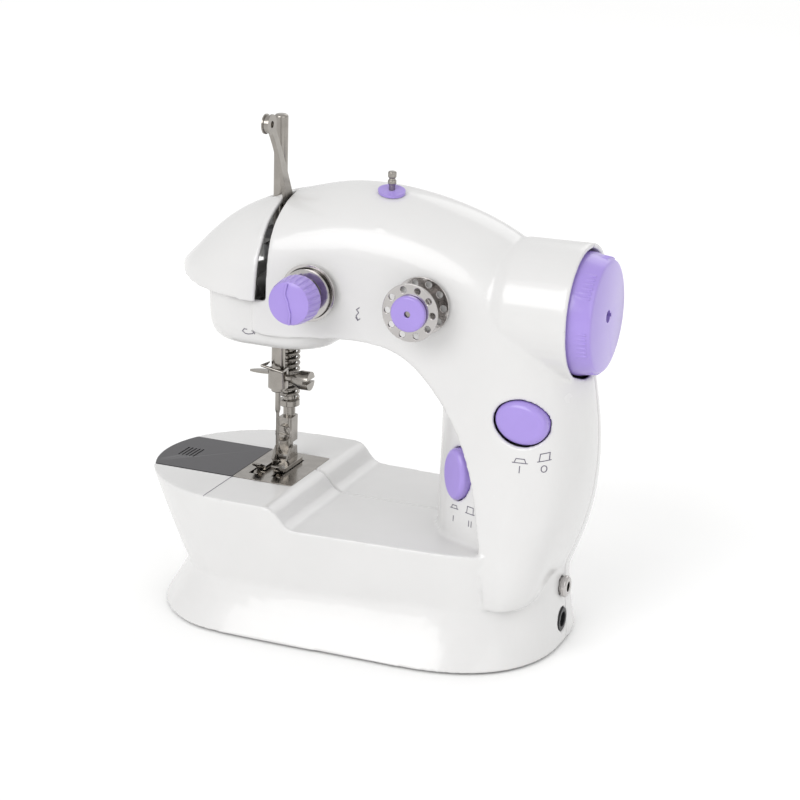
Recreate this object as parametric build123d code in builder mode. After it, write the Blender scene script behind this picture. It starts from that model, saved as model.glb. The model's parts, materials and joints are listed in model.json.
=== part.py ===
from build123d import *

import os
from math import atan2, cos, pi, radians, sin

# Mini sewing machine, in millimetres. +X points to the hand wheel, -Y to the operator, +Z up.
# The origin is on the table, under the middle of the machine.

wall = 2.0                      # thickness of the moulded shells
seam_y = 4.0                    # the two shells meet on this plane
foot_z = 0.8                    # height of the shell's lower rim, on rubber feet
half_length = 84.5              # the bed's tip and the wheel's face are this far from the middle
deck_z = 49.0                   # sewing surface
platform_z = 41.7               # lower part of the bed, under the arm
needle_x, presser_y = -38.6, 10.0
needle_bar_r, presser_bar_r = 2.5, 2.25
needle_bar_top = 180.0
stroke = 18.0                   # travel of the needle bar
shaft_z, shaft_r = 122.6, 3.0   # upper shaft, along X at y = 0
lower_y, lower_z = 9.0, 28.0    # lower shaft, along X
hook_x, hook_r = -51.7, 12.1    # vertical axis and outer radius of the rotary hook
slot_x, slot_w = -32.5, 2.8     # slot for the take-up lever
lever_pivot = (12.6, 120.3)     # take-up pivot, y and z
lever_eye = (-22.9, 180.6)      # take-up eye, y and z
tension_x, tension_z = -14.0, 125.0
front_bobbin_x, front_bobbin_z = 26.5, 125.0
guide_x, guide_y = 6.6, -6.3     # top thread guide
power_x, power_z = 63.3, 88.3
speed_x, speed_z = 39.6, 65.4
column_x, column_a, column_b = 62.0, 35.0, 29.0   # elliptical inner column: centre and half-axes
pedal_z, inlet_z = 22.3, 9.6
gear_module = 1.0
gear_teeth, pinion_teeth = 40, 10
motor_y = 7.0
motor_z = shaft_z - ((gear_module * (gear_teeth + pinion_teeth) / 2) ** 2 - motor_y ** 2) ** 0.5
running = 0.05                  # radial clearance of a shaft in its bush

os.makedirs("parts", exist_ok=True)


# ---- helpers: each adds to, or cuts from, the part that is open when it is called ----

def rod(start, end, radius, mode=Mode.ADD):
    # a straight round bar between two points
    axis = Vector(*end) - Vector(*start)
    with BuildSketch(Plane(origin=start, z_dir=axis)) as face:
        Circle(radius)
    extrude(face.sketch, amount=axis.length, mode=mode)


def block(xs, ys, zs, radius=0, mode=Mode.ADD):
    # a box between three pairs of limits, its upright edges rounded by radius
    with BuildSketch(Plane.XY.offset(zs[0])) as face:
        with Locations(((xs[0] + xs[1]) / 2, (ys[0] + ys[1]) / 2)):
            if radius:
                RectangleRounded(xs[1] - xs[0], ys[1] - ys[0], radius)
            else:
                Rectangle(xs[1] - xs[0], ys[1] - ys[0])
    extrude(face.sketch, amount=zs[1] - zs[0], mode=mode)


def turn_x(y, z, points, mode=Mode.ADD):
    # a profile of (x, radius) points turned about an axis along X
    with BuildSketch(Plane(origin=(0, y, z), x_dir=(1, 0, 0), z_dir=(0, -1, 0))) as face:
        with BuildLine():
            Polyline(*points, close=True)
        make_face()
    revolve(face.sketch, axis=Axis((0, y, z), (1, 0, 0)), mode=mode)


def turn_y(x, z, points, mode=Mode.ADD):
    # a profile of (y, radius) points turned about an axis along Y
    with BuildSketch(Plane(origin=(x, 0, z), x_dir=(0, 1, 0), z_dir=(1, 0, 0))) as face:
        with BuildLine():
            Polyline(*points, close=True)
        make_face()
    revolve(face.sketch, axis=Axis((x, 0, z), (0, 1, 0)), mode=mode)


def turn_z(x, y, points, mode=Mode.ADD):
    # a profile of (radius, z) points turned about an axis along Z
    with BuildSketch(Plane(origin=(x, y, 0), x_dir=(1, 0, 0), z_dir=(0, -1, 0))) as face:
        with BuildLine():
            Polyline(*points, close=True)
        make_face()
    revolve(face.sketch, axis=Axis((x, y, 0), (0, 0, 1)), mode=mode)


def gear(plane, teeth, thickness, mode=Mode.ADD):
    # a spur gear with straight-sided teeth, a tooth on the plane's x axis
    pitch_r = gear_module * teeth / 2
    tip, root = pitch_r + 0.8 * gear_module, pitch_r - 1.1 * gear_module
    step = 2 * pi / teeth
    outline = []
    for k in range(teeth):
        for radius, share in ((root, -0.31), (tip, -0.13), (tip, 0.13), (root, 0.31)):
            angle = (k + share) * step
            outline.append((radius * cos(angle), radius * sin(angle)))
    with BuildSketch(plane) as face:
        with BuildLine():
            Polyline(*outline, close=True)
        make_face()
    extrude(face.sketch, amount=thickness, mode=mode)


def coil(x, y, low, high, radius, wire, pitch):
    # a round-wire compression spring standing along Z
    path = Helix(pitch, high - low, radius, center=(x, y, low), mode=Mode.PRIVATE)
    with BuildSketch(Plane(origin=path @ 0, z_dir=path % 0)) as section:
        Circle(wire / 2)
    sweep(section.sketch, path=path, is_frenet=True)


# ---- outer form ----
# Each form takes an inset, so that the same lines give the outside and, one wall in, the hollow.

def bed_outline(left, right, depth, taper=0.02, fullness=2.5):
    # a boat-shaped outline: half an ellipse on the left, half a fuller oval on the right
    left_centre, right_centre = -39.0, 26.0
    points = []
    for middle, reach, power, first in ((right_centre, right - right_centre, 2 / fullness, -90),
                                        (left_centre, left_centre - left, 1.0, 90)):
        for angle in range(first, first + 181, 15):
            across, along = sin(radians(angle)), cos(radians(angle))
            x = middle + reach * abs(along) ** power * (1 if first < 0 else -1)
            half = depth * abs(across) ** power * (1 - taper * (x - left_centre) / 100)
            points.append((x, half * (1 if across > 0 else -1)))
    return points


def bed_loft(sections):
    faces = []
    for z, *limits in sections:
        with BuildSketch(Plane.XY.offset(z)) as face:
            with BuildLine():
                Spline(*bed_outline(*limits), periodic=True)
            make_face()
        faces.append(face.sketch)
    loft(faces)


def skirt(inset=0.0):
    # the flared foot of the machine
    low = foot_z - 1 if inset else foot_z
    bed_loft([
        (low, -77.4 + inset, 75.0 - inset, 46.8 - inset),
        (8, -73.0 + inset, 74.4 - inset, 42.6 - inset),
        (18, -67.4 + inset, 73.6 - inset, 38.4 - inset),
        (34, -60 + inset, 73.0 - inset, 34.0 - inset),
    ])


def hull(inset=0.0):
    # the bed above the waist, with its step down from the sewing deck to the platform
    top = deck_z - inset
    with BuildPart(mode=Mode.PRIVATE) as form:
        bed_loft([
            (13, -65.8 + inset, 70 - inset, 37.6 - inset, 0.06, 3),
            (30, -75.4 + inset, 72 - inset, 39.7 - inset, 0.08, 3),
            (top, -half_length + inset, 73 - inset, 41.0 - inset, 0.08, 3),
        ])
        with BuildSketch(Plane.XZ.offset(-60)) as step:
            with BuildLine():
                start, end = (-25 - inset, top), (-12.5 - inset, platform_z - inset)
                Spline(start, end, tangents=[(1, 0), (1, 0)])
                Polyline(end, (90, platform_z - inset), (90, top + 9), (-25 - inset, top + 9), start)
            make_face()
        extrude(step.sketch, amount=120, mode=Mode.SUBTRACT)
    add(form.part)


def arch_section(inner, outer, half, inset):
    # one section of the arm: flat towards the arch, crowned outwards
    start, end = Vector(inner[0], 0, inner[1]), Vector(outer[0], 0, outer[1])
    out = (end - start).normalized()
    depth = (end - start).length - 2 * inset
    side = half - inset
    plane = Plane(origin=start + out * inset, x_dir=(0, 1, 0), z_dir=(out.Z, 0, -out.X))
    with BuildSketch(plane) as face:
        with BuildLine():
            Line((-side, 0), (side, 0))
            Spline(
                (side, 0), (side, 0.40 * depth), (0.86 * side, 0.74 * depth), (0.48 * side, 0.93 * depth),
                (0, depth), tangents=[(0, 1), (-1, 0)],
            )
            Spline(
                (0, depth), (-0.48 * side, 0.93 * depth), (-0.86 * side, 0.74 * depth), (-side, 0.40 * depth),
                (-side, 0), tangents=[(-1, 0), (0, -1)],
            )
        make_face()
    return face.sketch


def arm(inset=0.0):
    # the arm and the column, one sweep of sections from the head round to the bed
    sections = [
        ((-36, 108), (-36, 152.6), 27.6),
        ((-14, 108), (-14, 158.2), 26.4),
        ((4, 108.8), (4, 159.0), 25.2),
        ((17, 106.2), (24, 156.2), 24.6),
        ((27.5, 98.8), (47.6, 148.2), 24.6),
        ((36.5, 87.6), (70, 129), 24.8),
        ((42, 78), (79.6, 101), 25.6),
        ((47, 66), (82.6, 77), 27.6),
        ((51, 52), (81.0, 54.6), 31.2),
        ((54.5, 37), (76.0, 37), 34.2),
        ((55, 22), (70, 22), 33.0),
    ]
    loft([arch_section(inner, outer, half, inset) for inner, outer, half in sections])


def hood(inset=0.0):
    # the cover over the head, drawn out to a beak on the left
    right_end = slot_x + slot_w / 2
    sections = [
        (right_end, 119.4, 154.0, 31.0),
        (-45, 119.8, 149.2, 29.6),
        (-57, 120.6, 142.0, 25.6),
        (-67, 122.0, 132.6, 17.5),
        (-73.4 + inset, 123.2, 126.4, 7.0),
    ]
    faces = []
    for x, low, high, half in sections:
        side, height = half - inset, high - low - inset
        with BuildSketch(Plane(origin=(x, 0, low), x_dir=(0, 1, 0), z_dir=(1, 0, 0))) as face:
            with BuildLine():
                Line((-side, 0), (side, 0))
                Spline((side, 0), (0.88 * side, 0.50 * height), (0.50 * side, 0.87 * height), (0, height),
                       tangents=[(-0.15, 1), (-1, 0)])
                Spline((0, height), (-0.50 * side, 0.87 * height), (-0.88 * side, 0.50 * height), (-side, 0),
                       tangents=[(-1, 0), (-0.15, -1)])
            make_face()
        faces.append(face.sketch)
    loft(faces)


def head_box(inset=0.0):
    # the lower part of the head, under the hood
    faces = []
    for z, left, right, half in ((101 + inset, -54.2, -15, 20.5), (103.2 + inset, -56.8, -12, 24.2),
                                 (110, -58.2, -10, 26.4), (124, -59.4, -9, 27.4)):
        with BuildSketch(Plane.XY.offset(z)) as face:
            with Locations(((left + right) / 2, 0)):
                RectangleRounded(right - left - 2 * inset, 2 * (half - inset), 14 - inset)
        faces.append(face.sketch)
    loft(faces)


def column(inset=0.0):
    # the elliptical inner column between the bed and the arm
    faces = []
    for z, half in ((36, 30), (56, 27.6), (78, 25.2), (96, 23.6)):
        with BuildSketch(Plane.XY.offset(z)) as face:
            with Locations((column_x, 0)):
                Ellipse(column_a - inset, half - inset)
            split(bisect_by=Plane.YZ.offset(column_x), keep=Keep.BOTTOM)
        faces.append(face.sketch)
    loft(faces)


def wheel_house(inset=0.0):
    # the barrel round the hand wheel
    turn_x(0, shaft_z, [(46 + inset, 0), (46 + inset, 22 - inset), (54, 23.8 - inset),
                        (77, 24.2 - inset), (77, 0)])


def body(inset=0.0):
    arm(inset)
    column(inset)
    wheel_house(inset)
    head_box(inset)
    hood(inset)
    hull(inset)
    skirt(inset)


# ---- the two shells ----

shell_screw_spots = ((8, 145, 20), (66, 70, 24.8), (66, 45, 28.8), (-51.5, 113, 20.5))   # x, z, reach to the wall
base_screw_spots = ((-30, 38.4), (-30, -38.4), (45, 36.4), (45, -36.4))
frame_posts = ((-43, 131, 25.6), (-22, 110, 25.4))   # x, z and where they meet the wall
bracket_posts = ((49.5, 92), (49.5, 126))
speed_y = -21.2
speed_out = Vector(-(column_x - speed_x) / column_a ** 2, speed_y / column_b ** 2, 0).normalized()
speed_face = Plane(origin=(speed_x, speed_y, speed_z), x_dir=(-speed_out.Y, speed_out.X, 0), z_dir=speed_out)
power_face = Plane(origin=(power_x, -23, power_z), x_dir=(cos(radians(12)), 0, -sin(radians(12))), z_dir=(0, -1, 0))

with BuildPart() as hollow:
    body(wall)

with BuildPart() as posts:
    for x, z, reach in shell_screw_spots:
        rod((x, reach, z), (x, -reach, z), 3.8)
    for x, y in base_screw_spots:
        rod((x, y, 3.1), (x, y, 8.5), 3.6)
    for x, z, reach in frame_posts:
        rod((x, 18.5, z), (x, reach, z), 3)
    for x, z in bracket_posts:
        rod((x, 18, z), (x, 23.4, z), 2.6)

with BuildPart() as cutters:
    for x, z, reach in shell_screw_spots:
        rod((x, 40, z), (x, -15, z), 1.3)
        rod((x, 40, z), (x, 18, z), 2.8)
    for x, y in base_screw_spots:
        rod((x, y, 3.1), (x, y, 8), 1.3)
    block((slot_x - slot_w / 2, slot_x + slot_w / 2), (-45, 3), (119.4, 165))
    rod((needle_x, 0, 140), (needle_x, 0, 160), needle_bar_r + 0.7)
    block((needle_x - 5, needle_x + 5), (-5, presser_y + 5), (98, 106), 4)
    block((-95, -24.8), (-17, 17), (deck_z - 1.2, 56))
    block((-79, -27), (-14.5, 14.5), (40, 56))
    rod((66, 0, shaft_z), (95, 0, shaft_z), 22.2)
    rod((tension_x, -40, tension_z), (tension_x, -18, tension_z), 2.4)
    rod((front_bobbin_x, -40, front_bobbin_z), (front_bobbin_x, -18, front_bobbin_z), 1.6)
    rod((guide_x, guide_y, 150), (guide_x, guide_y, 170), 2.0)
    rod((needle_x, 20, 112), (needle_x, 40, 112), 2.3)
    rod((68, 0, pedal_z), (90, 0, pedal_z), 3.2)
    rod((68, 0, inlet_z), (90, 0, inlet_z), 4.4)
    with BuildSketch(power_face.offset(12)) as power_hole:
        Ellipse(9.75, 7.95)
    extrude(power_hole.sketch, amount=-24)
    with BuildSketch(speed_face.offset(8)) as speed_hole:
        Ellipse(6.6, 9.6)
    extrude(speed_hole.sketch, amount=-13)

with BuildPart() as shells:
    body()
    add(hollow.part, mode=Mode.SUBTRACT)
    add(posts.part)
    add(cutters.part, mode=Mode.SUBTRACT)

for name, keep in (("front_shell", Keep.TOP), ("rear_shell", Keep.BOTTOM)):
    with BuildPart() as shell:
        add(shells.part)
        split(bisect_by=Plane.XZ.offset(-seam_y), keep=keep)
    shell.part.label = name
    export_step(shell.part, f"parts/{name}.step")


# ---- base ----

def save(part, name):
    part.label = name
    export_step(part, f"parts/{name}.step")


tray_x, tray_y, tray_top = (-27, 41), (-29, 29), 20.0
hook_bearing_z = (12.5, 20.5)

with BuildPart() as base_plate:
    bed_loft([(foot_z, -74.5, 72.1, 43.9), (2.8, -73.1, 71.7, 41.9)])
    block(tray_x, tray_y, (2.8, tray_top))
    block((tray_x[0] + 2, tray_x[1] - 2), (-27, 27), (0, 18.4), mode=Mode.SUBTRACT)
    block((-46, -42), (lower_y - 4, lower_y + 4), (2.8, lower_z + 5))
    for left in (-24, 30):
        block((left, left + 4), (lower_y - 4, lower_y + 4), (tray_top - 1, lower_z + 5))
    block((hook_x - 4.5, hook_x + 4.5), (-4.5, 3.2), (2.8, 20.5))
    rod((-50, lower_y, lower_z), (50, lower_y, lower_z), 3.5, mode=Mode.SUBTRACT)
    rod((hook_x, 0, hook_bearing_z[0] - 0.3), (hook_x, 0, 30), 2.0 + running, mode=Mode.SUBTRACT)
    for x, y in base_screw_spots:
        rod((x, y, 0), (x, y, 5), 1.4, mode=Mode.SUBTRACT)
        rod((x, y, 0), (x, y, 2.0), 2.9, mode=Mode.SUBTRACT)
    for x, y in ((-58, 18), (-58, -18), (58, 20), (58, -20)):
        rod((x, y, 0), (x, y, 1.8), 5.0, mode=Mode.SUBTRACT)
save(base_plate.part, "base_plate")

with BuildPart() as rubber_feet:
    for x, y in ((-58, 18), (-58, -18), (58, 20), (58, -20)):
        rod((x, y, 0), (x, y, 1.8), 5.0)
    fillet(rubber_feet.edges().group_by(Axis.Z)[0], 0.4)
save(rubber_feet.part, "rubber_feet")

with BuildPart() as case_screws:
    for x, y in base_screw_spots:
        rod((x, y, 1.0), (x, y, 2.0), 2.6)
        rod((x, y, 2.0), (x, y, 7.5), 1.25)
        block((x - 2, x + 2), (y - 0.35, y + 0.35), (0.9, 1.5), mode=Mode.SUBTRACT)
        block((x - 0.35, x + 0.35), (y - 2, y + 2), (0.9, 1.5), mode=Mode.SUBTRACT)
    for x, z, reach in shell_screw_spots:
        turn_y(x, z, [(18, 0), (18, 2.5), (19.2, 2.2), (19.6, 1.2), (19.6, 0)])
        rod((x, -12, z), (x, 18, z), 1.25)
        block((x - 1.6, x + 1.6), (18.8, 20), (z - 0.35, z + 0.35), mode=Mode.SUBTRACT)
save(case_screws.part, "case_screws")

with BuildPart() as battery_door:
    block((tray_x[0] + 2.3, tray_x[1] - 2.3), (-26.7, 26.7), (foot_z, 2.4))
    for k in range(5):
        block((28 + 1.6 * k, 28.8 + 1.6 * k), (-8, 8), (foot_z - 0.1, foot_z + 0.4), mode=Mode.SUBTRACT)
save(battery_door.part, "battery_door")

with BuildPart() as battery_contacts:
    for side in (-1, 1):
        for k in range(4):
            x = -25 + 8 + 16 * k
            block((x - 4.5, x + 4.5), sorted((side * 26.2, side * 26.9)), (4, 16))
            coil_y = side * 23.2
            rod((x, side * 26.2, 10), (x, coil_y, 10), 2.2)
save(battery_contacts.part, "battery_contacts")

# ---- bed: plates, feed, hook and bobbin ----

with BuildPart() as needle_plate:
    block((-48.4, -24.9), (-16.9, 16.9), (deck_z - 1.2, deck_z), 0.6)
    block((needle_x - 0.9, needle_x + 0.9), (-2.2, 1.6), (40, 55), 0.85, mode=Mode.SUBTRACT)
    for side in (-1, 1):
        middle = needle_x + side * 4.5
        block((middle - 1.7, middle + 1.7), (-11, 10.6), (40, 55), mode=Mode.SUBTRACT)
save(needle_plate.part, "needle_plate")

with BuildPart() as slide_plate:
    with BuildSketch(Plane.XY.offset(deck_z - 1.15)) as outline:
        with BuildLine():
            Spline(*bed_outline(-half_length + 0.7, 72, 40.3, 0.08, 3), periodic=True)
        make_face()
        with Locations((-68.6, 0)):
            Rectangle(40, 33.8, mode=Mode.INTERSECT)
    extrude(outline.sketch, amount=1.15)
    with BuildSketch(Plane.XY.offset(deck_z)) as grip:
        with GridLocations(1.5, 0, 5, 1):
            with Locations((-74, 0)):
                SlotOverall(9, 0.6, rotation=90)
    extrude(grip.sketch, amount=-0.4, mode=Mode.SUBTRACT)
save(slide_plate.part, "slide_plate")

with BuildPart() as feed_dog:
    for side in (-1, 1):
        middle = needle_x + side * 4.5
        with BuildSketch(Plane.YZ.offset(middle - 1.2)) as teeth:
            with BuildLine():
                points = [(-8.4, 45.6), (8.6, 45.6)]
                for k in range(11):
                    y = 8.6 - 1.5 * k
                    points += [(y, 48.1), (y - 0.5, 48.85)]
                points.append((-8.4, 48.1))
                Polyline(*points, close=True)
            make_face()
        extrude(teeth.sketch, amount=2.4)
    block((needle_x - 5.7, needle_x + 5.7), (6.2, 8.6), (45.4, 46.5))
save(feed_dog.part, "feed_dog")

with BuildPart() as lower_shaft:
    rod((-58, lower_y, lower_z), (44, lower_y, lower_z), 2.0)
save(lower_shaft.part, "lower_shaft")

with BuildPart() as shaft_bushes:
    for left in (-46, -24, 30):
        rod((left, lower_y, lower_z), (left + 4, lower_y, lower_z), 3.5)
    rod((-60, lower_y, lower_z), (50, lower_y, lower_z), 2.0 + running, mode=Mode.SUBTRACT)
    rod((-21, 0, shaft_z), (-17, 0, shaft_z), 5.0)
    rod((47.5, 0, shaft_z), (50.5, 0, shaft_z), 5.0)
    rod((-30, 0, shaft_z), (60, 0, shaft_z), shaft_r + running, mode=Mode.SUBTRACT)
save(shaft_bushes.part, "shaft_bushes")

with BuildPart() as lower_gear:
    with BuildSketch(Plane.YZ.offset(hook_x - 3)) as face:
        with Locations((lower_y, lower_z)):
            RegularPolygon(5.0, 20)
            Circle(2.0, mode=Mode.SUBTRACT)
    extrude(face.sketch, amount=6)
save(lower_gear.part, "lower_gear")

with BuildPart() as hook_shaft:
    rod((hook_x, 0, hook_bearing_z[0]), (hook_x, 0, 36), 2.0)
    with BuildSketch(Plane.XY.offset(lower_z - 4)) as face:
        with Locations((hook_x, 0)):
            RegularPolygon(3.7, 10)
    extrude(face.sketch, amount=8)
save(hook_shaft.part, "hook_shaft")

with BuildPart() as rotary_hook:
    turn_z(hook_x, 0, [(2.0, 34), (11.0, 34), (hook_r, 35.2), (hook_r, 44), (10.9, 44), (10.9, 36.0),
                       (3.6, 36.0), (3.6, 37.0), (2.0, 37.0)])
    block((hook_x + 4, hook_x + 14), (-9, -4), (39, 45), mode=Mode.SUBTRACT)
save(rotary_hook.part, "rotary_hook")

with BuildPart() as bobbin_case:
    turn_z(hook_x, 0, [(0, 37.4), (10.5, 37.4), (10.5, 44.2), (9.9, 44.2), (9.9, 38.2), (0, 38.2)])
save(bobbin_case.part, "bobbin_case")

with BuildPart() as lower_bobbin:
    turn_z(hook_x, 0, [(2.6, 38.5), (9.4, 38.5), (9.4, 39.2), (3.4, 39.2), (3.4, 44.5), (9.4, 44.5),
                       (9.4, 45.2), (2.6, 45.2)])
save(lower_bobbin.part, "lower_bobbin")

# ---- head: frame, needle bar, take-up and presser ----

with BuildPart() as head_frame:
    block((-47, -12), (15.5, 18.5), (104, 139))
    block((-20.3, -11), (15, 19), (103, 111), mode=Mode.SUBTRACT)
    for low, high in ((103.6, 108), (135.6, 139)):
        block((-43.4, -33.8), (-3.8, 16), (low, high))
    block((-21, -17), (-6.5, 16), (115.8, 129.4))
    block((-35.9, -34.0), (9.4, 16), (117, 124))
    rod((needle_x, 0, 100), (needle_x, 0, 150), needle_bar_r + running, mode=Mode.SUBTRACT)
    rod((needle_x, presser_y, 100), (needle_x, presser_y, 150), presser_bar_r + running, mode=Mode.SUBTRACT)
    rod((-30, 0, shaft_z), (-10, 0, shaft_z), 5.0, mode=Mode.SUBTRACT)
    rod((needle_x, 10, 112), (needle_x, 30, 112), 1.9 + running, mode=Mode.SUBTRACT)
    rod((-34.5, *lever_pivot), (-31.1, *lever_pivot), 1.5)
    rod((-31.2, *lever_pivot), (-30.5, *lever_pivot), 2.3)
save(head_frame.part, "head_frame")

with BuildPart() as upper_shaft:
    rod((-25, 0, shaft_z), (81, 0, shaft_z), shaft_r)
save(upper_shaft.part, "upper_shaft")

with BuildPart() as crank_disc:
    rod((-29, 0, shaft_z), (-25, 0, shaft_z), 10.5)
    rod((-30.0, 0, shaft_z + stroke / 2), (-29, 0, shaft_z + stroke / 2), 1.3)
    block((-30, -24), (-8, 8), (shaft_z - 11, shaft_z - 6), mode=Mode.SUBTRACT)
save(crank_disc.part, "crank_disc")

with BuildPart() as needle_bar:
    rod((needle_x, 0, 78), (needle_x, 0, needle_bar_top), needle_bar_r)
    fillet(needle_bar.edges().group_by(Axis.Z)[-1], 1.2)
    fillet(needle_bar.edges().group_by(Axis.Z)[0], 0.5)
    rod((needle_x, 0, 70), (needle_x, 0, 84), 1.0, mode=Mode.SUBTRACT)
save(needle_bar.part, "needle_bar")

with BuildPart() as needle_driver:
    block((-43, -35.2), (-5, 5), (127.6, 133.6), 1)
    block((-35.6, -34.2), (-12, 7), (128, 135.2))
    block((-36, -34), (-10.6, 5.6), (130.1, 133.1), mode=Mode.SUBTRACT)
    rod((needle_x, 0, 120), (needle_x, 0, 140), needle_bar_r, mode=Mode.SUBTRACT)
save(needle_driver.part, "needle_driver")

with BuildPart() as needle_clamp:
    turn_z(needle_x, 0, [(needle_bar_r, 79.6), (3.7, 79.6), (3.7, 86.4), (3.4, 86.8), (needle_bar_r, 86.8)])
    rod((needle_x, 0, 83.6), (needle_x + 6, 0, 83.6), 1.3, mode=Mode.SUBTRACT)
save(needle_clamp.part, "needle_clamp")

with BuildPart() as clamp_screw:
    rod((needle_x + 2.7, 0, 83.6), (needle_x + 7, 0, 83.6), 1.3)
    turn_x(0, 83.6, [(-32.6, 0), (-32.6, 2.2), (-29.4, 3.5), (-25.6, 3.5), (-25.6, 0)])
    block((-27.4, -25), (-4, 4), (83.0, 84.2), mode=Mode.SUBTRACT)
save(clamp_screw.part, "clamp_screw")

with BuildPart() as needle:
    turn_z(needle_x, 0, [(0, 83), (1.0, 83), (1.0, 71), (0.6, 69.6), (0.6, 54.5), (0, 51.0)])
    rod((needle_x - 2, 0, 56), (needle_x + 2, 0, 56), 0.25, mode=Mode.SUBTRACT)
save(needle.part, "needle")

with BuildPart() as needle_guides:
    wire = 0.5
    corners = [(-41.8, 0.6, 88.4), (-42.9, -4.9, 88.4), (-34.6, -4.9, 87.0), (-35.3, 0.6, 87.0)]
    for start, end in zip(corners, corners[1:]):
        rod(start, end, wire)
    for corner in corners[1:3]:
        with Locations(corner):
            Sphere(wire)
    with BuildSketch(Plane.XY.offset(84.4)) as leaf:
        with BuildLine():
            Spline((-41.9, 1.4), (-45.6, 1.5), (-49.4, -1.2))
            Spline((-49.4, -1.2), (-46, -1.9), (-41.9, -1.4))
            Line((-41.9, -1.4), (-41.9, 1.4))
        make_face()
    extrude(leaf.sketch, amount=0.8)
    rod((needle_x, 0, 80), (needle_x, 0, 95), 3.7, mode=Mode.SUBTRACT)
save(needle_guides.part, "needle_guides")

pivot_y, pivot_z = lever_pivot
eye_y, eye_z = lever_eye
with BuildPart() as take_up_lever:
    with BuildSketch(Plane.YZ.offset(slot_x - 0.8)) as blade:
        with BuildLine():
            Spline((pivot_y - 2.6, pivot_z - 2), (-9.6, 152.6), (-14.6, 165), (eye_y - 1.4, eye_z))
            Line((eye_y - 1.4, eye_z), (eye_y + 1.6, eye_z + 1.2))
            Spline((eye_y + 1.6, eye_z + 1.2), (-11.2, 166), (-5.2, 154.6), (pivot_y + 2.6, pivot_z + 2))
            Line((pivot_y + 2.6, pivot_z + 2), (pivot_y - 2.6, pivot_z - 2))
        make_face()
        with Locations(lever_pivot):
            Circle(2.8)
        with Locations(lever_eye):
            Circle(3.0)
    extrude(blade.sketch, amount=1.6)
    for side in (-1, 1):
        middle = slot_x + side * 1.05
        rod((middle - 0.25, eye_y, eye_z), (middle + 0.25, eye_y, eye_z), 3.5)
    rod((-40, eye_y, eye_z), (-20, eye_y, eye_z), 1.2, mode=Mode.SUBTRACT)
    rod((-40, pivot_y, pivot_z), (-20, pivot_y, pivot_z), 1.5 + running, mode=Mode.SUBTRACT)
save(take_up_lever.part, "take_up_lever")

with BuildPart() as presser_bar:
    rod((needle_x, presser_y, 57), (needle_x, presser_y, 140.5), presser_bar_r)
    turn_z(needle_x, presser_y, [(2.0, 70), (3.8, 70), (3.8, 72.2), (2.0, 72.2)])
save(presser_bar.part, "presser_bar")

with BuildPart() as presser_spring:
    coil(needle_x, presser_y, 72.9, 102.8, 3.25, 1.1, 2.2)
save(presser_spring.part, "presser_spring")

with BuildPart() as presser_guide:
    block((-42.5, -36.3), (6.8, 15.2), (116.5, 121))
    rod((needle_x, presser_y, 110), (needle_x, presser_y, 130), presser_bar_r, mode=Mode.SUBTRACT)
save(presser_guide.part, "presser_guide")

with BuildPart() as presser_lifter:
    rod((needle_x, 12.8, 112), (needle_x, 15.2, 112), 3.9)
    rod((needle_x, 15, 112), (needle_x, 30, 112), 1.9)
    rod((needle_x, 28.6, 112), (needle_x, 32.4, 112), 4.6)
    with BuildSketch(Plane.XZ.offset(-32.2)) as handle:
        with Locations((needle_x, 103)):
            Trapezoid(8.4, 18, 86, rotation=180)
    extrude(handle.sketch, amount=3.2)
save(presser_lifter.part, "presser_lifter")

foot_pivot = (7.6, 53.2)
with BuildPart() as presser_ankle:
    block((-41.2, -36.0), (5.9, 12.7), (56.4, 66.0), 1)
    block((-40.6, -36.6), (5.9, 9.4), (51.8, 57))
    rod((needle_x, presser_y, 57), (needle_x, presser_y, 70), presser_bar_r, mode=Mode.SUBTRACT)
    rod((-50, *foot_pivot), (-30, *foot_pivot), 0.85, mode=Mode.SUBTRACT)
save(presser_ankle.part, "presser_ankle")

with BuildPart() as ankle_screw:
    turn_y(needle_x, 60.4, [(3.9, 0), (3.9, 2.7), (4.3, 3.0), (5.9, 3.0), (5.9, 0)])
    block((-42, -35), (3.5, 4.6), (60.05, 60.75), mode=Mode.SUBTRACT)
save(ankle_screw.part, "ankle_screw")

with BuildPart() as presser_foot:
    with BuildSketch(Plane.XY.offset(deck_z + 0.3)) as sole:
        with Locations((needle_x, 2)):
            RectangleRounded(12, 17, 1.6)
        with Locations((needle_x, -4.6)):
            Rectangle(3.2, 7.4, mode=Mode.SUBTRACT)
            with Locations((0, 4.6)):
                Circle(1.6, mode=Mode.SUBTRACT)
    extrude(sole.sketch, amount=1.4)
    for side in (-1, 1):
        with BuildSketch(Plane.YZ.offset(needle_x + side * 2.9 - 0.6)) as ear:
            with BuildLine():
                Polyline((2, 50.4), (10.4, 50.4), (9.8, 54.9), (5.4, 54.9), close=True)
            make_face()
        extrude(ear.sketch, amount=1.2)
        tip = needle_x + side * 3.8
        with BuildSketch(Plane.YZ.offset(tip - 1.7)) as toe:
            with BuildLine():
                Polyline((-6, 49.6), (-9.4, 51.4), (-9.9, 52.2), (-9.2, 52.5), (-5.6, 50.7), close=True)
            make_face()
        extrude(toe.sketch, amount=3.4)
    rod((-50, *foot_pivot), (-30, *foot_pivot), 0.8, mode=Mode.SUBTRACT)
save(presser_foot.part, "presser_foot")

with BuildPart() as foot_pin:
    rod((-42.2, *foot_pivot), (-35.0, *foot_pivot), 0.8)
save(foot_pin.part, "foot_pin")

# ---- front: tension unit, front bobbin, thread guide ----

with BuildPart() as tension_stud:
    turn_y(tension_x, tension_z, [(-19, 0), (-19, 4.5), (-21.5, 4.5), (-21.5, 2.4), (-27.2, 2.4), (-27.2, 1.5),
                                  (-43, 1.5), (-43, 0)])
save(tension_stud.part, "tension_stud")

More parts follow.
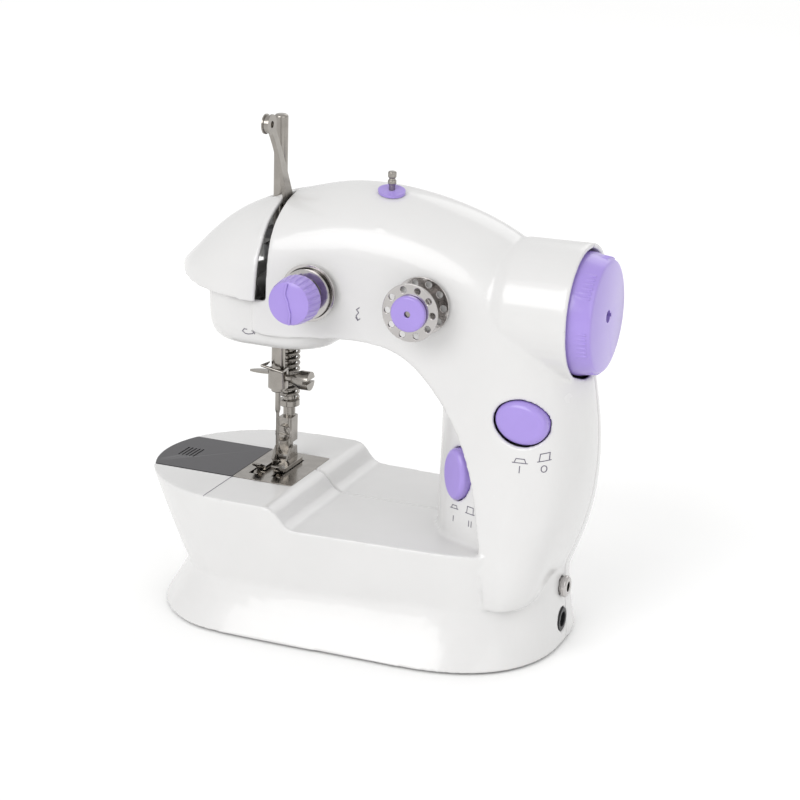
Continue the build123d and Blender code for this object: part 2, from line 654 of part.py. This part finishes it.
with BuildPart() as tension_discs:
    turn_y(tension_x, tension_z, [(-27.2, 1.5), (-27.2, 9.6), (-29.4, 10.0), (-29.4, 9.0), (-28.2, 8.6),
                                  (-28.2, 1.5)])
    turn_y(tension_x, tension_z, [(-29.8, 1.5), (-29.8, 6.6), (-30.6, 8.8), (-31.1, 8.8), (-30.5, 6.4),
                                  (-30.5, 1.5)])
    turn_y(tension_x, tension_z, [(-31.4, 1.5), (-31.4, 6.4), (-31.2, 8.8), (-31.7, 8.8), (-32.1, 6.6),
                                  (-32.1, 1.5)])
save(tension_discs.part, "tension_discs")

with BuildPart() as tension_spring:
    for k in range(3):
        middle, radius = -32.9 - 1.1 * k, 5.6 - 0.9 * k
        turn_y(tension_x, tension_z, [(middle - 0.4, radius - 0.4), (middle - 0.4, radius + 0.4),
                                      (middle + 0.4, radius + 0.4), (middle + 0.4, radius - 0.4)])
save(tension_spring.part, "tension_spring")

with BuildPart() as tension_knob:
    turn_y(tension_x, tension_z, [(-36.2, 1.55), (-36.2, 7.9), (-37.0, 8.5), (-43.4, 8.0), (-44.6, 7.0),
                                  (-45.0, 5.6), (-45.0, 0), (-43.2, 0), (-43.2, 1.55)])
    with BuildSketch(Plane(origin=(tension_x, -43.2, tension_z), x_dir=(1, 0, 0), z_dir=(0, 1, 0))) as ribs:
        with PolarLocations(8.25, 24):
            Circle(0.45)
    extrude(ribs.sketch, amount=5.8)
    with BuildSketch(Plane(origin=(tension_x, -46.0, tension_z), x_dir=(1, 0, 0), z_dir=(0, 1, 0))) as ridge:
        with BuildLine():
            Spline((2.2, -6.0), (-0.9, -3), (0, 0), (0.9, 3), (-2.2, 6.0))
        trace(line_width=1.1)
    extrude(ridge.sketch, amount=1.2)
save(tension_knob.part, "tension_knob")

with BuildPart() as bobbin_spindle:
    turn_y(front_bobbin_x, front_bobbin_z, [(-18.6, 0), (-18.6, 3.5), (-20.4, 3.5), (-20.4, 1.5), (-37.6, 1.5),
                                            (-37.6, 0)])
save(bobbin_spindle.part, "bobbin_spindle")

with BuildPart() as front_bobbin:
    turn_y(front_bobbin_x, front_bobbin_z, [(-25.0, 1.6), (-25.0, 10.0), (-25.9, 10.0), (-25.9, 3.4), (-35.3, 3.4),
                                            (-35.3, 10.0), (-36.2, 10.0), (-36.2, 1.6)])
    bobbin_face = Plane(origin=(front_bobbin_x, -37, front_bobbin_z), x_dir=(1, 0, 0), z_dir=(0, 1, 0))
    with BuildSketch(bobbin_face) as holes:
        with PolarLocations(8.1, 10):
            Circle(1.15)
    extrude(holes.sketch, amount=14, mode=Mode.SUBTRACT)
save(front_bobbin.part, "front_bobbin")

with BuildPart() as bobbin_cap:
    turn_y(front_bobbin_x, front_bobbin_z, [(-36.4, 1.55), (-36.4, 6.2), (-38.0, 6.2), (-38.6, 5.6), (-38.6, 1.1),
                                            (-37.8, 1.1), (-37.8, 1.55)])
save(bobbin_cap.part, "bobbin_cap")

seat_face = Plane(origin=(guide_x, guide_y, 157.95), x_dir=(1, 0, -0.07), z_dir=(0.07, -0.29, 0.95))
with BuildPart() as guide_seat:
    rod((guide_x, guide_y, 154), (guide_x, guide_y, 158.6), 2.0)
    with BuildSketch(seat_face) as lens:
        Ellipse(4.9, 3.9)
    extrude(lens.sketch, amount=1.1)
    rod((guide_x, guide_y, 150), (guide_x, guide_y, 165), 1.1, mode=Mode.SUBTRACT)
save(guide_seat.part, "guide_seat")

with BuildPart() as guide_post:
    turn_z(guide_x, guide_y, [(0, 154), (1.1, 154), (1.1, 160.6), (1.5, 161.3), (1.5, 162.3), (1.1, 162.7),
                              (1.1, 163.1), (1.5, 163.5), (1.5, 165.1), (1.2, 165.5), (0, 165.5)])
save(guide_post.part, "guide_post")

# ---- drive: wheel, gears, motor and belt ----

with BuildPart() as hand_wheel:
    turn_x(0, shaft_z, [(69, 3.0), (69, 21.4), (77, 21.3), (83.0, 19.9), (84.1, 19.2), (84.5, 18.0), (84.5, 2.2),
                        (81, 2.2), (81, 3.0)])
    for group in range(6):
        for k in range(6):
            angle = radians(60 * group + 5 * k)
            y, z = sin(angle), cos(angle)
            rod((70, 21.2 * y, shaft_z + 21.2 * z), (83, 19.8 * y, shaft_z + 19.8 * z), 0.5)
    block((80, 90), (0, 3.4), (shaft_z - 0.7, shaft_z + 0.7), mode=Mode.SUBTRACT)
save(hand_wheel.part, "hand_wheel")

gear_left = 43.0
with BuildPart() as drive_gear:
    gear(Plane(origin=(gear_left, 0, shaft_z), x_dir=(0, motor_y, motor_z - shaft_z), z_dir=(1, 0, 0)),
         gear_teeth, 3.5)
    rod((gear_left - 0.6, 0, shaft_z), (gear_left + 4.2, 0, shaft_z), 6)
    rod((40, 0, shaft_z), (50, 0, shaft_z), shaft_r, mode=Mode.SUBTRACT)
save(drive_gear.part, "drive_gear")

with BuildPart() as motor_pinion:
    # half a tooth round from the gear's, so that the two mesh
    toward = atan2(shaft_z - motor_z, -motor_y) + pi / pinion_teeth
    gear(Plane(origin=(gear_left - 0.3, motor_y, motor_z), x_dir=(0, cos(toward), sin(toward)), z_dir=(1, 0, 0)),
         pinion_teeth, 4.1)
    rod((40, motor_y, motor_z), (50, motor_y, motor_z), 1.0, mode=Mode.SUBTRACT)
save(motor_pinion.part, "motor_pinion")

with BuildPart() as motor_bracket:
    block((47.7, 49.5), (-9, 18), (86.5, 130))
    rod((40, 0, shaft_z), (60, 0, shaft_z), 5.0, mode=Mode.SUBTRACT)
    rod((40, motor_y, motor_z), (60, motor_y, motor_z), 3.0, mode=Mode.SUBTRACT)
save(motor_bracket.part, "motor_bracket")

with BuildPart() as motor:
    turn_x(motor_y, motor_z, [(49.5, 1.2), (49.5, 9.5), (64.5, 9.5), (65.2, 9.0), (65.2, 3.5), (67, 3.5), (67, 0),
                              (60, 0), (60, 1.2)])
save(motor.part, "motor")

with BuildPart() as motor_shaft:
    rod((43.0, motor_y, motor_z), (59.8, motor_y, motor_z), 1.0)
save(motor_shaft.part, "motor_shaft")

pulley = [(0, 3.0), (0, 7.6), (0.7, 7.6), (0.7, 6.0), (4.2, 6.0), (4.2, 7.6), (4.9, 7.6), (4.9, 3.0)]
with BuildPart() as upper_pulley:
    turn_x(0, shaft_z, [(36.6 + x, r) for x, r in pulley])
save(upper_pulley.part, "upper_pulley")

with BuildPart() as lower_pulley:
    turn_x(lower_y, lower_z, [(36.6 + x, max(2.0, r) if r > 3 else 2.0) for x, r in pulley])
save(lower_pulley.part, "lower_pulley")

with BuildPart() as drive_belt:
    run = Vector(0, lower_y, lower_z - shaft_z)
    belt_plane = Plane(origin=(37.5, lower_y / 2, (shaft_z + lower_z) / 2), x_dir=run, z_dir=(1, 0, 0))
    with BuildSketch(belt_plane) as loop:
        SlotCenterToCenter(run.length, 15.0)
        SlotCenterToCenter(run.length, 12.6, mode=Mode.SUBTRACT)
    extrude(loop.sketch, amount=3.1)
save(drive_belt.part, "drive_belt")

# ---- electrics and buttons ----

with BuildPart() as power_button:
    with BuildSketch(power_face.offset(2.6)) as dome:
        Ellipse(9.45, 7.65)
    extrude(dome.sketch, amount=-10)
    fillet(power_button.edges().group_by(Axis.Y)[0], 2.6)
save(power_button.part, "power_button")

with BuildPart() as speed_button:
    with BuildSketch(speed_face.offset(1.6)) as dome:
        Ellipse(6.3, 9.3)
    extrude(dome.sketch, amount=-8)
    fillet(speed_button.edges().sort_by(lambda e: (e.center() - speed_face.origin).dot(speed_out))[-1], 1.8)
save(speed_button.part, "speed_button")

with BuildPart() as push_switches:
    block((power_x - 4, power_x + 4), (-12.2, -5), (power_z - 4, power_z + 4))
    with BuildSketch(speed_face.offset(-9.2)) as body_face:
        Rectangle(6, 7)
    extrude(body_face.sketch, amount=-3.4)
save(push_switches.part, "push_switches")

with BuildPart() as circuit_board:
    block((63.6, 65.2), (-12, 12), (4.6, 29))
save(circuit_board.part, "circuit_board")

with BuildPart() as dc_inlet:
    block((65.2, 70.4), (-4.5, 4.5), (inlet_z - 4.5, inlet_z + 4.5))
    rod((70, 0, inlet_z), (74.3, 0, inlet_z), 4.2)
    rod((66, 0, inlet_z), (80, 0, inlet_z), 2.75, mode=Mode.SUBTRACT)
    rod((65.6, 0, inlet_z), (73.4, 0, inlet_z), 1.0)
save(dc_inlet.part, "dc_inlet")

with BuildPart() as pedal_jack:
    block((65.2, 70.4), (-4, 4), (pedal_z - 4, pedal_z + 4))
    rod((70, 0, pedal_z), (74.2, 0, pedal_z), 3.1)
    turn_x(0, pedal_z, [(73.9, 1.8), (73.9, 3.9), (75.2, 3.9), (75.8, 3.2), (75.8, 1.8)])
    rod((66.4, 0, pedal_z), (80, 0, pedal_z), 1.8, mode=Mode.SUBTRACT)
save(pedal_jack.part, "pedal_jack")
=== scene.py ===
import bpy, bmesh, json, math
from mathutils import Matrix, Vector
from mathutils.bvhtree import BVHTree


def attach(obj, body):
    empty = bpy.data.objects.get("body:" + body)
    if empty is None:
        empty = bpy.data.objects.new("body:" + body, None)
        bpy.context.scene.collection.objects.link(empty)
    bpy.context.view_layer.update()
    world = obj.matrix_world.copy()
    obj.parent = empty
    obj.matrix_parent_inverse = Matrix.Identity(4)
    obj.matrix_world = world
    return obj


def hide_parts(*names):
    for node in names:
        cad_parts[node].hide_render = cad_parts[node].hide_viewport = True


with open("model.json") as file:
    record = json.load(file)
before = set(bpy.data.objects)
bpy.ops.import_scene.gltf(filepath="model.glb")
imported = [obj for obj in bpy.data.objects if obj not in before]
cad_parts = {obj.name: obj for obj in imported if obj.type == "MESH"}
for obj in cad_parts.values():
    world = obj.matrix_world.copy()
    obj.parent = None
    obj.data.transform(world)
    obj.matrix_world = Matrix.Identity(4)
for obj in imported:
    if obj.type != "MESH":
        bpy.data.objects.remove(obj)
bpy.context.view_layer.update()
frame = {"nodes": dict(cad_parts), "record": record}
nodes = frame["nodes"]
bodies = frame["record"]["behaviour"]["bodies"]
bodyOf = {node: body for body, members in bodies.items() for node in members}
slotOf = {part["node"]: part["material_slot"] for part in frame["record"]["subparts"]}
mm = 0.001
print("frame loaded,", len(nodes), "nodes")

# camera, floor and light

cameraSettings = {
    "place": (0.29698, -0.71146, 0.32749), "back": (0.3569, -0.8829, 0.3050),
    "lens": 101.87, "roll": 1.72, "sensor": 36,
}
lightSettings = {
    "world": 0.84, "sun": 1.05, "sunSpread": 35, "sunWay": (0.28, 1.0, -0.62), "aim": (0, 0, 0.08),
    "fill": {"place": (0.9, -0.5, 0.6), "size": 0.9, "power": 1.5},
    "rim": {"place": (0.1, 0.9, 0.8), "size": 0.8, "power": 1.5},
}
floorSettings = {"half": 6, "colour": (0.985, 0.985, 0.98, 1), "rough": 0.9}


def makeCamera():
    data = bpy.data.cameras.new("camera")
    data.lens, data.sensor_width = cameraSettings["lens"], cameraSettings["sensor"]
    camera = bpy.data.objects.new("camera", data)
    bpy.context.scene.collection.objects.link(camera)
    back = Vector(cameraSettings["back"]).normalized()
    right = Vector((-back.y, back.x, 0)).normalized()
    up = back.cross(right)
    roll = math.radians(cameraSettings["roll"])
    side = right * math.cos(roll) + up * math.sin(roll)
    top = up * math.cos(roll) - right * math.sin(roll)
    turn = Matrix((side, top, back)).transposed()
    camera.matrix_world = Matrix.Translation(cameraSettings["place"]) @ turn.to_4x4()
    bpy.context.scene.camera = camera


def areaLight(name, place, size, power):
    data = bpy.data.lights.new(name, "AREA")
    data.shape, data.size, data.energy = "DISK", size, power
    lamp = bpy.data.objects.new(name, data)
    lamp.location = place
    way = Vector(lightSettings["aim"]) - Vector(place)
    lamp.rotation_euler = way.to_track_quat("-Z", "Y").to_euler()
    bpy.context.scene.collection.objects.link(lamp)


def makeStage():
    mesh = bpy.data.meshes.new("floor")
    bm = bmesh.new()
    bmesh.ops.create_grid(bm, x_segments=1, y_segments=1, size=floorSettings["half"])
    bm.to_mesh(mesh)
    bm.free()
    floor = bpy.data.objects.new("floor", mesh)
    bpy.context.scene.collection.objects.link(floor)
    paint = bpy.data.materials.new("paleFloor")
    paint.use_nodes = True
    shader = paint.node_tree.nodes["Principled BSDF"]
    shader.inputs["Base Color"].default_value = floorSettings["colour"]
    shader.inputs["Roughness"].default_value = floorSettings["rough"]
    mesh.materials.append(paint)
    world = bpy.data.worlds.new("studio")
    bpy.context.scene.world = world
    world.use_nodes = True
    sky = world.node_tree.nodes["Background"]
    sky.inputs["Color"].default_value = (1, 1, 1, 1)
    sky.inputs["Strength"].default_value = lightSettings["world"]
    sun = bpy.data.lights.new("frontSun", "SUN")
    sun.energy, sun.angle = lightSettings["sun"], math.radians(lightSettings["sunSpread"])
    lamp = bpy.data.objects.new("frontSun", sun)
    lamp.rotation_euler = Vector(lightSettings["sunWay"]).to_track_quat("-Z", "Y").to_euler()
    bpy.context.scene.collection.objects.link(lamp)
    for name in ("fill", "rim"):
        areaLight(name + "Light", **lightSettings[name])
    bpy.context.scene.view_settings.view_transform = "Standard"


makeCamera()
makeStage()
print("camera and studio set")

# finishes: colour is linear, mottle is how far the colour wanders, grain is bump height in mm

finishes = {
    "white_shell": {"colour": (0.665, 0.66, 0.655), "rough": 0.26, "coat": 0.4,
        "mottle": 0.012, "scale": 60, "grain": 0.004},
    "purple_plastic": {"colour": (0.34, 0.25, 0.64), "rough": 0.3, "coat": 0.35,
        "mottle": 0.03, "scale": 90, "grain": 0.006},
    "steel": {"colour": (0.33, 0.31, 0.285), "rough": 0.2, "metal": 1,
        "mottle": 0.10, "scale": 220, "grain": 0.004},
    "chrome_steel": {"colour": (0.52, 0.50, 0.49), "rough": 0.16, "metal": 1,
        "mottle": 0.05, "scale": 150, "grain": 0.001},
    "dark_plate": {"colour": (0.045, 0.043, 0.048), "rough": 0.32, "metal": 0.4,
        "mottle": 0.15, "scale": 300, "grain": 0.004},
    "cast_frame": {"colour": (0.42, 0.42, 0.43), "rough": 0.5, "metal": 1,
        "mottle": 0.10, "scale": 400, "grain": 0.02},
    "grey_plastic": {"colour": (0.30, 0.30, 0.31), "rough": 0.45,
        "mottle": 0.05, "scale": 150, "grain": 0.006},
    "black_plastic": {"colour": (0.015, 0.015, 0.017), "rough": 0.4,
        "mottle": 0.2, "scale": 200, "grain": 0.01},
    "rubber": {"colour": (0.02, 0.02, 0.021), "rough": 0.75, "mottle": 0.2, "scale": 300, "grain": 0.03},
    "brass": {"colour": (0.62, 0.42, 0.16), "rough": 0.3, "metal": 1,
        "mottle": 0.08, "scale": 200, "grain": 0.004},
    "board": {"colour": (0.01, 0.09, 0.03), "rough": 0.4, "coat": 0.3,
        "mottle": 0.3, "scale": 120, "grain": 0.01},
    # ink for the printed marks, also used as painted shade for the dark strip in the deck groove
    "inkAndGrooveShade": {"colour": (0.13, 0.12, 0.16), "rough": 0.5, "mottle": 0.1, "scale": 300, "grain": 0.002},
}
noiseDetail, noiseReach, roughReach, bumpStrength, coatRough = 3, 0.2, 0.12, 0.6, 0.08
painted = {}


def finish(name):
    if name in painted:
        return painted[name]
    look = finishes[name]
    material = bpy.data.materials.new(name)
    material.use_nodes = True
    tree = material.node_tree
    shader = tree.nodes["Principled BSDF"]
    shader.inputs["Metallic"].default_value = look.get("metal", 0)
    shader.inputs["Coat Weight"].default_value = look.get("coat", 0)
    shader.inputs["Coat Roughness"].default_value = coatRough
    where = tree.nodes.new("ShaderNodeTexCoord")
    noise = tree.nodes.new("ShaderNodeTexNoise")
    noise.inputs["Scale"].default_value = look["scale"]
    noise.inputs["Detail"].default_value = noiseDetail
    tree.links.new(where.outputs["Object"], noise.inputs["Vector"])
    ramp = tree.nodes.new("ShaderNodeValToRGB")
    for element, side in zip(ramp.color_ramp.elements, (-1, 1)):
        element.position = 0.5 + noiseReach * side
        element.color = [min(1, c * (1 + side * look["mottle"])) for c in look["colour"]] + [1]
    tree.links.new(noise.outputs["Fac"], ramp.inputs["Fac"])
    tree.links.new(ramp.outputs["Color"], shader.inputs["Base Color"])
    spread = tree.nodes.new("ShaderNodeMapRange")
    spread.inputs["To Min"].default_value = look["rough"] * (1 - roughReach)
    spread.inputs["To Max"].default_value = look["rough"] * (1 + roughReach)
    tree.links.new(noise.outputs["Fac"], spread.inputs["Value"])
    tree.links.new(spread.outputs["Result"], shader.inputs["Roughness"])
    bump = tree.nodes.new("ShaderNodeBump")
    bump.inputs["Distance"].default_value = look["grain"] * mm
    bump.inputs["Strength"].default_value = bumpStrength
    tree.links.new(noise.outputs["Fac"], bump.inputs["Height"])
    tree.links.new(bump.outputs["Normal"], shader.inputs["Normal"])
    painted[name] = material
    return material


for name, node in nodes.items():
    node.data.materials.clear()
    node.data.materials.append(finish(slotOf[name]))
print("finishes made and given to every node")

# general helpers


def addPiece(name, bm, slot, body, replaced=(), smoothAngle=35, paint=None):
    bmesh.ops.recalc_face_normals(bm, faces=bm.faces)
    for face in bm.faces:
        face.smooth = True
    mesh = bpy.data.meshes.new(name)
    bm.to_mesh(mesh)
    bm.free()
    mesh.set_sharp_from_angle(angle=math.radians(smoothAngle))
    piece = bpy.data.objects.new(name, mesh)
    bpy.context.scene.collection.objects.link(piece)
    mesh.materials.append(finish(paint or slot))
    if replaced:
        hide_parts(*replaced)
    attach(piece, body)
    return piece


def cleanCopy(node):
    bm = bmesh.new()
    bm.from_mesh(nodes[node].data)
    bmesh.ops.remove_doubles(bm, verts=bm.verts, dist=2e-6)
    bmesh.ops.dissolve_degenerate(bm, edges=bm.edges, dist=1e-6)
    return bm


def softCopy(node, width=0.15, angle=32, paint=None):
    # the node with its flat faces joined and its sharp edges broken
    bm = cleanCopy(node)
    bmesh.ops.dissolve_limit(bm, angle_limit=math.radians(1), verts=bm.verts, edges=bm.edges)
    piece = addPiece(node + "Soft", bm, slotOf[node], bodyOf[node], [node], angle, paint)
    edge = piece.modifiers.new("brokenEdges", "BEVEL")
    edge.width, edge.segments, edge.limit_method = width * mm, 2, "ANGLE"
    edge.angle_limit, edge.harden_normals = math.radians(angle), False
    edge.use_clamp_overlap = True
    return piece


# case: each shell's copy is given an even skin, whose corners round off as moulded ones do

shellSettings = {"skin": 0.62, "passes": 8, "keep": 0.5}
rayStart = {"side": -0.2, "front": -0.2, "top": 0.09}
endWall = {"levels": (39.4, 42.9), "across": (9.5, 11, 12.5, 14, 15.5, 17), "thick": 1.5}


def thickenEndWall(bm, side):
    # backs the thin corner of the bed's left end with a strip that follows its outer face
    tree = BVHTree.FromBMesh(bm)
    rings = []
    for y in endWall["across"]:
        starts = [Vector((rayStart["side"], side * y * mm, z * mm)) for z in endWall["levels"]]
        outer = [tree.ray_cast(start, Vector((1, 0, 0)))[0] for start in starts]
        inner = [point + Vector((endWall["thick"] * mm, 0, 0)) for point in reversed(outer)]
        rings.append([bm.verts.new(point) for point in outer + inner])
    for ring, after in zip(rings, rings[1:]):
        for k in range(4):
            bm.faces.new((ring[k], ring[k - 1], after[k - 1], after[k]))
    bm.faces.new(rings[0])
    bm.faces.new(reversed(rings[-1]))


def evenSkin(node):
    bm = cleanCopy(node)
    thickenEndWall(bm, -1 if node == "front_shell" else 1)
    source = bpy.data.meshes.new(node + "Source")
    bm.to_mesh(source)
    bm.free()
    piece = bpy.data.objects.new(node + "Moulded", source)
    bpy.context.scene.collection.objects.link(piece)
    skin = piece.modifiers.new("skin", "REMESH")
    skin.mode, skin.voxel_size = "VOXEL", shellSettings["skin"] * mm
    soft = piece.modifiers.new("soft", "SMOOTH")
    soft.factor, soft.iterations = 0.5, shellSettings["passes"]
    thin = piece.modifiers.new("thin", "DECIMATE")
    thin.ratio = shellSettings["keep"]
    evaluated = piece.evaluated_get(bpy.context.evaluated_depsgraph_get())
    mesh = bpy.data.meshes.new_from_object(evaluated)
    piece.modifiers.clear()
    piece.data = mesh
    mesh.name = node + "Moulded"
    for polygon in mesh.polygons:
        polygon.use_smooth = True
    mesh.materials.clear()
    mesh.materials.append(finish(slotOf[node]))
    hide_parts(node)
    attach(piece, bodyOf[node])
    return piece


shells = [evenSkin(node) for node in ("front_shell", "rear_shell")]
surface = bmesh.new()
for shell in shells:
    surface.from_mesh(shell.data)
surfaceTree = BVHTree.FromBMesh(surface)
surface.free()
print("case moulded:", [len(shell.data.polygons) for shell in shells])

# small pieces: clean copies with broken edges

edgeWidths = {
    "needle_plate": 0.15, "slide_plate": 0.15, "feed_dog": 0.06, "head_frame": 0.2, "needle_bar": 0.1,
    "needle_driver": 0.2, "needle_clamp": 0.15, "clamp_screw": 0.2, "needle": 0.05, "needle_guides": 0.08,
    "take_up_lever": 0.2, "presser_bar": 0.15, "presser_guide": 0.2, "presser_lifter": 0.4, "presser_ankle": 0.25,
    "ankle_screw": 0.2, "presser_foot": 0.2, "foot_pin": 0.1, "tension_stud": 0.1, "tension_discs": 0.1,
    "bobbin_spindle": 0.15, "front_bobbin": 0.15, "bobbin_cap": 0.3, "guide_seat": 0.3,
    "guide_post": 0.12, "hand_wheel": 0.3, "power_button": 0.3, "speed_button": 0.3, "dc_inlet": 0.2,
    "pedal_jack": 0.2, "rubber_feet": 0.3, "case_screws": 0.2, "base_plate": 0.3, "battery_door": 0.3,
    "tension_spring": 0.1,
}
brightNodes = ("front_bobbin", "tension_discs", "tension_spring")
for node, width in edgeWidths.items():
    softCopy(node, width, paint="chrome_steel" if node in brightNodes else None)
print("small pieces softened")

# tension knob: fluted side, smooth face with a slim curved ridge

knob = {"x": -14, "z": 125, "back": -36.2, "front": -45.2, "radius": 8.35, "flutes": 24, "depth": 0.42,
        "ridge": [(-0.5, 7.3), (-1.0, 3.6), (0.2, 0), (1.0, -3.6), (0.6, -7.3)],
        "ridgeWidth": 0.75, "ridgeHeight": 0.45}


def spinAbout(bm, profile, place, axis, steps):
    chain = [bm.verts.new(point) for point in profile]
    edges = [bm.edges.new(pair) for pair in zip(chain, chain[1:])]
    bmesh.ops.spin(bm, geom=chain + edges, cent=place, axis=axis, dvec=(0, 0, 0), angle=2 * math.pi,
                   steps=steps, use_merge=True)
    bmesh.ops.remove_doubles(bm, verts=bm.verts, dist=1e-6)


def makeKnob():
    bm = bmesh.new()
    r, back, front = knob["radius"], knob["back"], knob["front"]
    side = [(back - 0.9 - 0.9 * k, r - 0.02 * k * k * 0.5) for k in range(8)]
    profile = [(back, 1.55), (back, r - 0.6), (back - 0.3, r - 0.2)] + side
    profile += [(front + 0.35, r - 0.95), (front, r - 1.9), (front - 0.35, r - 4.0), (front - 0.5, 0)]
    axisPoint = Vector((knob["x"], 0, knob["z"])) * mm
    spinAbout(bm, [axisPoint + Vector((radius, y, 0)) * mm for y, radius in profile], axisPoint, (0, 1, 0), 192)
    for vert in bm.verts:
        out = Vector((vert.co.x, 0, vert.co.z)) - axisPoint
        if out.length > (r - 0.9) * mm and vert.co.y < (back - 0.5) * mm:
            angle = math.atan2(out.z, out.x) * knob["flutes"]
            fade = min(1, max(0, (vert.co.y / mm - front - 0.4) / 1.5))
            groove = max(0, math.cos(angle)) ** 0.5 * knob["depth"] * fade
            vert.co -= out.normalized() * groove * mm
    addPiece("tensionKnob", bm, "purple_plastic", "knob", ["tension_knob"], 50)
    ridge = bmesh.new()
    points = [(knob["ridge"][k], knob["ridge"][k + 1]) for k in range(len(knob["ridge"]) - 1)]
    rowsPer, half = 6, knob["ridgeWidth"] / 2
    last = None
    for (x0, z0), (x1, z1) in points:
        for k in range(rowsPer + 1):
            t = k / rowsPer
            ease = t * t * (3 - 2 * t)
            x, z = x0 + (x1 - x0) * ease, z0 + (z1 - z0) * t
            y = front - 0.12 - 0.35 * (1 - (math.hypot(x, z) / r) ** 2)
            here = [ridge.verts.new(axisPoint + Vector((x + side, y, z)) * mm) for side in (-half, half)]
            if last:
                ridge.faces.new((last[0], last[1], here[1], here[0]))
            last = here
    bmesh.ops.remove_doubles(ridge, verts=ridge.verts, dist=1e-6)
    raised = bmesh.ops.extrude_face_region(ridge, geom=ridge.faces[:])
    for vert in [part for part in raised["geom"] if isinstance(part, bmesh.types.BMVert)]:
        vert.co.y -= knob["ridgeHeight"] * mm
    piece = addPiece("knobRidge", ridge, "purple_plastic", "knob")
    edge = piece.modifiers.new("round", "BEVEL")
    edge.width, edge.segments, edge.limit_method, edge.angle_limit = 0.22 * mm, 3, "ANGLE", math.radians(60)


makeKnob()
print("tension knob made")

# printed marks: thin lines of ink laid on the case; the strip across the deck is not print but painted shade, a
# dark colour standing in for the shade inside the deck's groove

marks = {
    "powerIn": ("front", 0.28, [[(61.8, 75.1), (67.0, 75.1)],
                                [(62.4, 75.1), (63.0, 76.5), (65.9, 76.5), (66.5, 75.1)]]),
    "powerOut": ("front", 0.28, [[(70.2, 75.9), (74.2, 76.7)],
                                 [(70.7, 76.0), (70.9, 78.6), (73.7, 79.2), (73.7, 76.6)]]),
    "powerOn": ("front", 0.3, [[(64.5, 71.8), (64.5, 74.0)]]),
    "powerOff": ("front", 0.28, [[(72.4 + 0.85 * math.cos(a), 73.6 + 1.1 * math.sin(a)) for a in
                                  [math.radians(20 * k) for k in range(19)]]]),
    "speedIn": ("front", 0.26, [[(37.6, 52.6), (41.4, 53.2)],
                                [(38.2, 52.7), (38.6, 53.9), (40.6, 54.2), (41.0, 53.1)]]),
    "speedOut": ("front", 0.26, [[(44.8, 53.2), (48.6, 53.2)],
                                 [(45.3, 53.2), (45.5, 55.6), (48.0, 55.6), (48.1, 53.2)]]),
    "speedOne": ("front", 0.28, [[(39.4, 48.4), (39.4, 50.2)]]),
    "speedTwo": ("front", 0.28, [[(46.5, 48.8), (46.5, 50.7)], [(47.6, 48.8), (47.6, 50.7)]]),
    "headArrow": ("front", 0.3, [[(-40.4, 107.2), (-39.6, 108.1), (-38.6, 108.0)],
                                 [(-40.4, 107.2), (-39.4, 106.3), (-38.2, 106.2), (-36.6, 106.6), (-35.6, 107.6)],
                                 [(-36.7, 107.7), (-35.6, 107.6), (-35.8, 106.6)]]),
    "armArrow": ("front", 0.3, [[(3.6, 121.2), (2.6, 120.4), (3.4, 119.4), (2.5, 118.2), (3.1, 116.8)],
                                [(2.4, 117.6), (3.1, 116.6), (3.9, 117.3)]]),
    # painted shade: a dark strip laid where the groove across the deck would hold shade
    "deckLine": ("top", 0.22, [[(-48.3, -17.2), (-48.3, -40.1)]]),
}
markLift, markThickness = 0.05, 0.03
markStep = 0.7


# lays each mark as a thin raised strip on the case; the deck strip among them is painted groove shade
def inkAndShadeLines(name, aim, width, strokes):
    bm = bmesh.new()
    for stroke in strokes:
        for (u0, v0), (u1, v1) in zip(stroke, stroke[1:]):
            length = math.hypot(u1 - u0, v1 - v0)
            turn = Matrix.Rotation(math.atan2(v1 - v0, u1 - u0), 4, "Z")
            place = Matrix.Translation(((u0 + u1) / 2, (v0 + v1) / 2, 0)) @ turn
            shape = Matrix.Diagonal(((length + width * 0.8) / 2, width / 2, 1, 1))
            bmesh.ops.create_grid(bm, x_segments=max(1, round(length / markStep)), y_segments=1, size=1,
                                  matrix=place @ shape)
    for vert in bm.verts:
        u, v = vert.co.x * mm, vert.co.y * mm
        if aim == "front":
            start, way = Vector((u, rayStart["front"], v)), Vector((0, 1, 0))
        else:
            start, way = Vector((u, v, rayStart["top"])), Vector((0, 0, -1))
        hit, normal, index, distance = surfaceTree.ray_cast(start, way)
        vert.co = hit + normal * markLift * mm
    raised = bmesh.ops.extrude_face_region(bm, geom=bm.faces[:])
    for vert in [part for part in raised["geom"] if isinstance(part, bmesh.types.BMVert)]:
        vert.co += (Vector((0, -1, 0)) if aim == "front" else Vector((0, 0, 1))) * markThickness * mm
    addPiece(name, bm, "white_shell", "machine", paint="inkAndGrooveShade")


for name, (aim, width, strokes) in marks.items():
    inkAndShadeLines(name, aim, width, strokes)
print("printed marks laid on")
